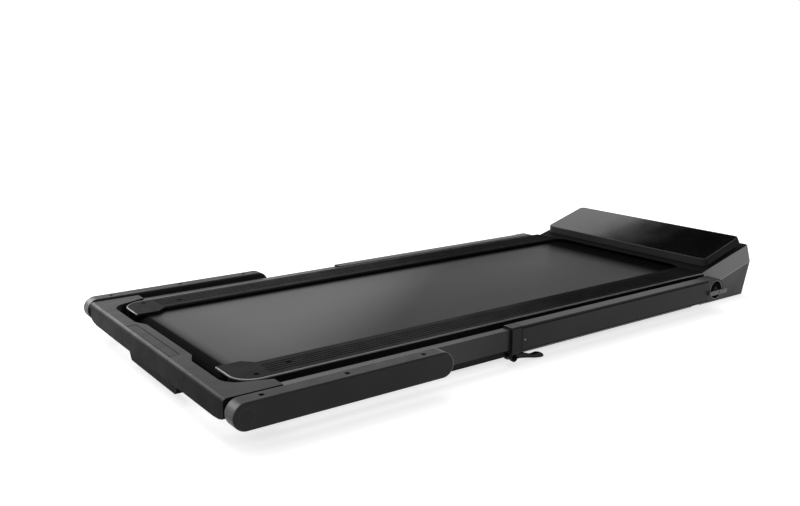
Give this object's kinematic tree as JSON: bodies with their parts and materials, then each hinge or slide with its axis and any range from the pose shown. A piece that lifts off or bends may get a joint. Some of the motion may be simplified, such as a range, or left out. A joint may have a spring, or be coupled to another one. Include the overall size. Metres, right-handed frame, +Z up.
{
  "type": "walking pad with folding handrail",
  "caption": "Flat under-desk walking pad, folded flat: running belt between grooved foot rails, sloped display hood and a telescoping handrail lying down around the deck.",
  "frame": {"origin": "centre of the outline on the floor", "axes": "+X towards the hood, +Y to the walker's left, +Z up"},
  "size_m": [1.438, 0.732, 0.148],
  "materials": {
    "frame_paint": "satin",
    "tube_paint": "satin",
    "hinge_metal": "satin",
    "rail_plastic": "matte",
    "clamp_plastic": "satin",
    "crossbar_plastic": "matte",
    "grip_foam": "matte",
    "display_gloss": "gloss",
    "bezel_plastic": "satin",
    "hood_plastic": "satin",
    "socket_plastic": "satin",
    "belt_surface": "matte",
    "drive_rubber": "matte",
    "wheel_plastic": "satin",
    "deck_wood": "matte",
    "roller_steel": "brushed",
    "fastener_steel": "satin",
    "motor_paint": "satin",
    "cast_aluminium": "cast",
    "circuit_board": "matte"
  },
  "bodies": {
    "base": {"side_frame_left": "frame_paint", "side_frame_right": "frame_paint", "foot_rail_left": "rail_plastic", "foot_rail_right": "rail_plastic", "rail_cap_left": "rail_plastic", "rail_cap_right": "rail_plastic", "hinge_bracket_left": "frame_paint", "hinge_bracket_right": "frame_paint", "cross_members": "frame_paint", "deck_cushions": "drive_rubber", "deck_board": "deck_wood", "running_belt": "belt_surface", "roller_bearings": "roller_steel", "roller_shafts": "roller_steel", "tension_bolts": "fastener_steel", "rail_screws": "fastener_steel", "motor_can": "motor_paint", "motor_end_caps": "cast_aluminium", "drive_belt": "drive_rubber", "motor_bracket": "frame_paint", "controller_heat_sink": "cast_aluminium", "controller_board": "circuit_board", "hood_base": "hood_plastic", "hood_cover": "hood_plastic", "panel_bezel": "bezel_plastic", "panel_lens": "display_gloss", "display_board": "circuit_board", "hood_screws": "fastener_steel", "power_socket_plate": "socket_plastic", "floor_feet": "drive_rubber", "wheel_forks": "frame_paint", "wheel_axles": "fastener_steel"},
    "front_roller": {"front_roller": "roller_steel", "front_pulley": "wheel_plastic"},
    "rear_roller": {"rear_roller": "roller_steel"},
    "motor_rotor": {"motor_rotor": "roller_steel", "motor_pulley": "wheel_plastic"},
    "power_rocker": {"power_rocker": "socket_plastic"},
    "wheel_left": {"wheel_left": "wheel_plastic"},
    "wheel_right": {"wheel_right": "wheel_plastic"},
    "handrail": {"sleeve_left": "tube_paint", "sleeve_right": "tube_paint", "knuckle_left": "hinge_metal", "knuckle_right": "hinge_metal", "collar_left": "clamp_plastic", "collar_right": "clamp_plastic", "clamp_bolts": "fastener_steel"},
    "lock_lever_left": {"lock_lever_left": "hinge_metal"},
    "lock_lever_right": {"lock_lever_right": "hinge_metal"},
    "clamp_lever_left": {"clamp_lever_left": "clamp_plastic"},
    "clamp_lever_right": {"clamp_lever_right": "clamp_plastic"},
    "slider": {"inner_tube_left": "tube_paint", "inner_tube_right": "tube_paint", "crossbar_cover": "crossbar_plastic", "crossbar_tray": "crossbar_plastic", "console_display": "display_gloss", "armrest_pivots": "fastener_steel"},
    "armrest_left": {"armrest_left": "grip_foam"},
    "armrest_right": {"armrest_right": "grip_foam"}
  },
  "joints": [
    {"name": "handrail_fold", "type": "hinge", "parent": "base", "child": "handrail", "pos_m": [0.5216, 0, 0.0545], "axis": [0, 1, 0], "range_deg": [0, 90]},
    {"name": "grip_slide", "type": "slide", "parent": "handrail", "child": "slider", "axis": [1, 0, 0], "range_m": [0, 0.15]},
    {"name": "armrest_left_swing", "type": "hinge", "parent": "slider", "child": "armrest_left", "pos_m": [-0.6955, 0.35, 0.0632], "axis": [0, 1, 0], "range_deg": [0, 90]},
    {"name": "clamp_lever_left_turn", "type": "hinge", "parent": "handrail", "child": "clamp_lever_left", "pos_m": [-0.1072, 0.3085, 0.0198], "axis": [0, 1, 0], "range_deg": [0, 90]},
    {"name": "lock_lever_left_lift", "type": "hinge", "parent": "handrail", "child": "lock_lever_left", "pos_m": [0.5216, 0.323, 0.0545], "axis": [0, -1, 0], "range_deg": [0, 30], "stiffness_Nm_per_rad": 0.3},
    {"name": "armrest_right_swing", "type": "hinge", "parent": "slider", "child": "armrest_right", "pos_m": [-0.6955, -0.35, 0.0632], "axis": [0, 1, 0], "range_deg": [0, 90]},
    {"name": "clamp_lever_right_turn", "type": "hinge", "parent": "handrail", "child": "clamp_lever_right", "pos_m": [-0.1072, -0.3085, 0.0198], "axis": [0, 1, 0], "range_deg": [0, 90]},
    {"name": "lock_lever_right_lift", "type": "hinge", "parent": "handrail", "child": "lock_lever_right", "pos_m": [0.5216, -0.323, 0.0545], "axis": [0, -1, 0], "range_deg": [0, 30], "stiffness_Nm_per_rad": 0.3},
    {"name": "front_roller_spin", "type": "hinge", "parent": "base", "child": "front_roller", "pos_m": [0.571, 0, 0.054], "axis": [0, 1, 0], "continuous": true},
    {"name": "rear_roller_spin", "type": "hinge", "parent": "base", "child": "rear_roller", "pos_m": [-0.64, 0, 0.054], "axis": [0, 1, 0], "continuous": true},
    {"name": "motor_spin", "type": "hinge", "parent": "base", "child": "motor_rotor", "pos_m": [0.666, 0, 0.054], "axis": [0, 1, 0], "continuous": true},
    {"name": "power_switch_rock", "type": "hinge", "parent": "base", "child": "power_rocker", "pos_m": [0.704, -0.133, 0.045], "axis": [0, -1, 0], "range_deg": [0, 16]},
    {"name": "wheel_left_spin", "type": "hinge", "parent": "base", "child": "wheel_left", "pos_m": [0.663, 0.253, 0.025], "axis": [0, 1, 0], "continuous": true},
    {"name": "wheel_right_spin", "type": "hinge", "parent": "base", "child": "wheel_right", "pos_m": [0.663, -0.253, 0.025], "axis": [0, 1, 0], "continuous": true}
  ],
  "couplings": [
    {"joint": "grip_slide", "follows": "handrail_fold", "m_per_rad": 0.095},
    {"joint": "armrest_left_swing", "follows": "handrail_fold", "ratio": 1},
    {"joint": "armrest_right_swing", "follows": "handrail_fold", "ratio": 1},
    {"joint": "clamp_lever_left_turn", "follows": "handrail_fold", "ratio": 1},
    {"joint": "clamp_lever_right_turn", "follows": "handrail_fold", "ratio": 1},
    {"joint": "rear_roller_spin", "follows": "front_roller_spin", "ratio": 1},
    {"joint": "motor_spin", "follows": "front_roller_spin", "ratio": 2.6814}
  ]
}
